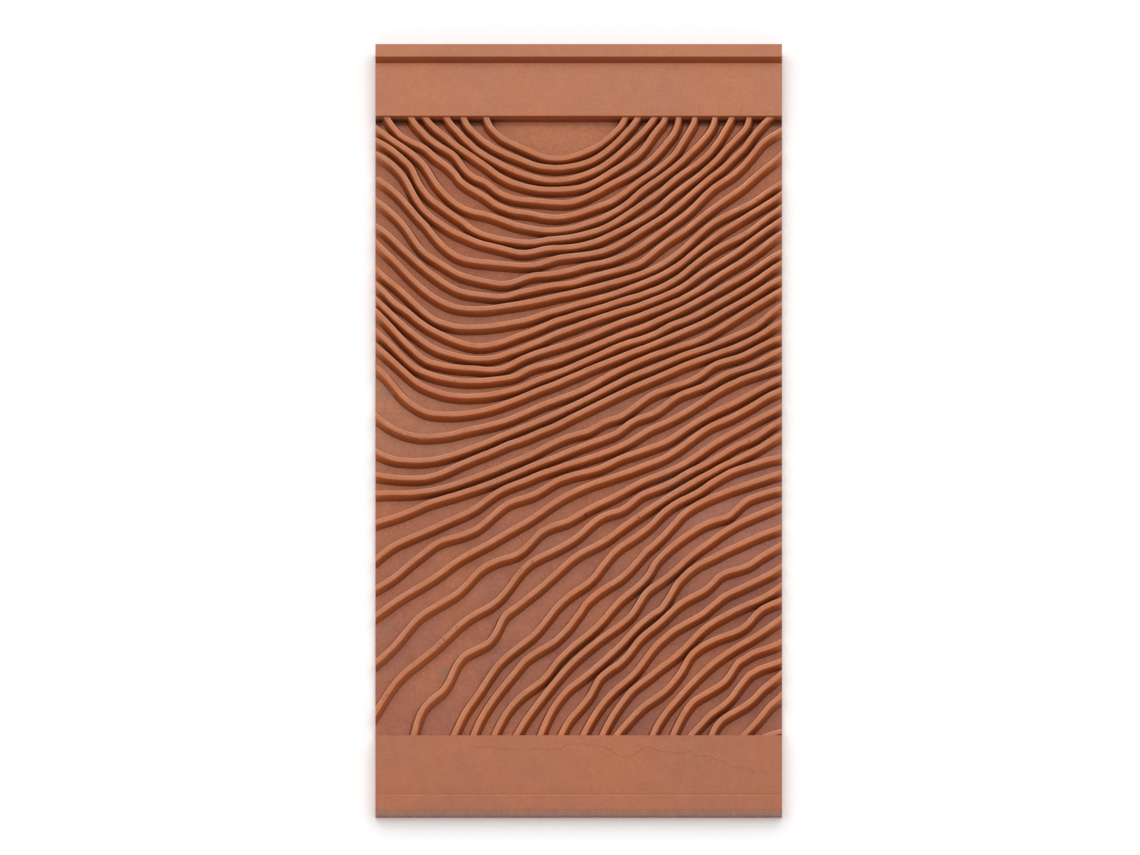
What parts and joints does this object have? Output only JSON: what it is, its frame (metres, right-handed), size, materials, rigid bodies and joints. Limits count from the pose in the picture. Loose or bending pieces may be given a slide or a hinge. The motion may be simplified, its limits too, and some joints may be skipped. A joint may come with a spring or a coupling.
{
  "type": "wood graining pad",
  "caption": "Flat rubber wood-graining pad: curved raised grain ribs on a thin backing sheet, between plain raised bands and lips at its two ends.",
  "frame": {"origin": "middle of the flat back face, which lies at z = 0", "axes": "+Z from the flat back up through the ribs; +Y along the pad towards the head end, where the grain closes into nested arches; +X across the pad, to the right of someone reading it from the tail"},
  "size_m": [0.1, 0.2074, 0.006],
  "materials": {
    "backing_sheet": "matt moulded rubber, terracotta brown",
    "head_band": "matt moulded rubber, terracotta brown",
    "head_lip": "matt moulded rubber, terracotta brown",
    "tail_band": "matt moulded rubber, terracotta brown",
    "tail_lip": "matt moulded rubber, terracotta brown",
    "grain_rib_01": "matt moulded rubber, terracotta brown",
    "grain_rib_02": "matt moulded rubber, terracotta brown",
    "grain_rib_03": "matt moulded rubber, terracotta brown",
    "grain_rib_04": "matt moulded rubber, terracotta brown",
    "grain_rib_05": "matt moulded rubber, terracotta brown",
    "grain_rib_06": "matt moulded rubber, terracotta brown",
    "grain_rib_07": "matt moulded rubber, terracotta brown",
    "grain_rib_08": "matt moulded rubber, terracotta brown",
    "grain_rib_09": "matt moulded rubber, terracotta brown",
    "grain_rib_10": "matt moulded rubber, terracotta brown",
    "grain_rib_11": "matt moulded rubber, terracotta brown",
    "grain_rib_12": "matt moulded rubber, terracotta brown",
    "grain_rib_13": "matt moulded rubber, terracotta brown",
    "grain_rib_14": "matt moulded rubber, terracotta brown",
    "grain_rib_15": "matt moulded rubber, terracotta brown",
    "grain_rib_16": "matt moulded rubber, terracotta brown",
    "grain_rib_17": "matt moulded rubber, terracotta brown",
    "grain_rib_18": "matt moulded rubber, terracotta brown",
    "grain_rib_19": "matt moulded rubber, terracotta brown",
    "grain_rib_20": "matt moulded rubber, terracotta brown",
    "grain_rib_21": "matt moulded rubber, terracotta brown",
    "grain_rib_22": "matt moulded rubber, terracotta brown",
    "grain_rib_23": "matt moulded rubber, terracotta brown",
    "grain_rib_24": "matt moulded rubber, terracotta brown",
    "grain_rib_25": "matt moulded rubber, terracotta brown",
    "grain_rib_26": "matt moulded rubber, terracotta brown",
    "grain_rib_27": "matt moulded rubber, terracotta brown",
    "grain_rib_28": "matt moulded rubber, terracotta brown",
    "grain_rib_29": "matt moulded rubber, terracotta brown",
    "grain_rib_30": "matt moulded rubber, terracotta brown",
    "grain_rib_31": "matt moulded rubber, terracotta brown",
    "grain_rib_32": "matt moulded rubber, terracotta brown",
    "grain_rib_33": "matt moulded rubber, terracotta brown",
    "grain_rib_34": "matt moulded rubber, terracotta brown",
    "grain_rib_35": "matt moulded rubber, terracotta brown",
    "grain_rib_36": "matt moulded rubber, terracotta brown",
    "grain_rib_37": "matt moulded rubber, terracotta brown",
    "grain_rib_38": "matt moulded rubber, terracotta brown",
    "grain_rib_39": "matt moulded rubber, terracotta brown",
    "grain_rib_40": "matt moulded rubber, terracotta brown",
    "grain_rib_41": "matt moulded rubber, terracotta brown",
    "grain_rib_42": "matt moulded rubber, terracotta brown",
    "grain_rib_43": "matt moulded rubber, terracotta brown",
    "grain_rib_44": "matt moulded rubber, terracotta brown",
    "grain_rib_45": "matt moulded rubber, terracotta brown",
    "grain_rib_46": "matt moulded rubber, terracotta brown"
  },
  "bodies": {
    "root": {"backing_sheet": "backing_sheet", "head_band": "head_band", "head_lip": "head_lip", "tail_band": "tail_band", "tail_lip": "tail_lip", "grain_rib_01": "grain_rib_01", "grain_rib_02": "grain_rib_02", "grain_rib_03": "grain_rib_03", "grain_rib_04": "grain_rib_04", "grain_rib_05": "grain_rib_05", "grain_rib_06": "grain_rib_06", "grain_rib_07": "grain_rib_07", "grain_rib_08": "grain_rib_08", "grain_rib_09": "grain_rib_09", "grain_rib_10": "grain_rib_10", "grain_rib_11": "grain_rib_11", "grain_rib_12": "grain_rib_12", "grain_rib_13": "grain_rib_13", "grain_rib_14": "grain_rib_14", "grain_rib_15": "grain_rib_15", "grain_rib_16": "grain_rib_16", "grain_rib_17": "grain_rib_17", "grain_rib_18": "grain_rib_18", "grain_rib_19": "grain_rib_19", "grain_rib_20": "grain_rib_20", "grain_rib_21": "grain_rib_21", "grain_rib_22": "grain_rib_22", "grain_rib_23": "grain_rib_23", "grain_rib_24": "grain_rib_24", "grain_rib_25": "grain_rib_25", "grain_rib_26": "grain_rib_26", "grain_rib_27": "grain_rib_27", "grain_rib_28": "grain_rib_28", "grain_rib_29": "grain_rib_29", "grain_rib_30": "grain_rib_30", "grain_rib_31": "grain_rib_31", "grain_rib_32": "grain_rib_32", "grain_rib_33": "grain_rib_33", "grain_rib_34": "grain_rib_34", "grain_rib_35": "grain_rib_35", "grain_rib_36": "grain_rib_36", "grain_rib_37": "grain_rib_37", "grain_rib_38": "grain_rib_38", "grain_rib_39": "grain_rib_39", "grain_rib_40": "grain_rib_40", "grain_rib_41": "grain_rib_41", "grain_rib_42": "grain_rib_42", "grain_rib_43": "grain_rib_43", "grain_rib_44": "grain_rib_44", "grain_rib_45": "grain_rib_45", "grain_rib_46": "grain_rib_46"}
  },
  "joints": []
}
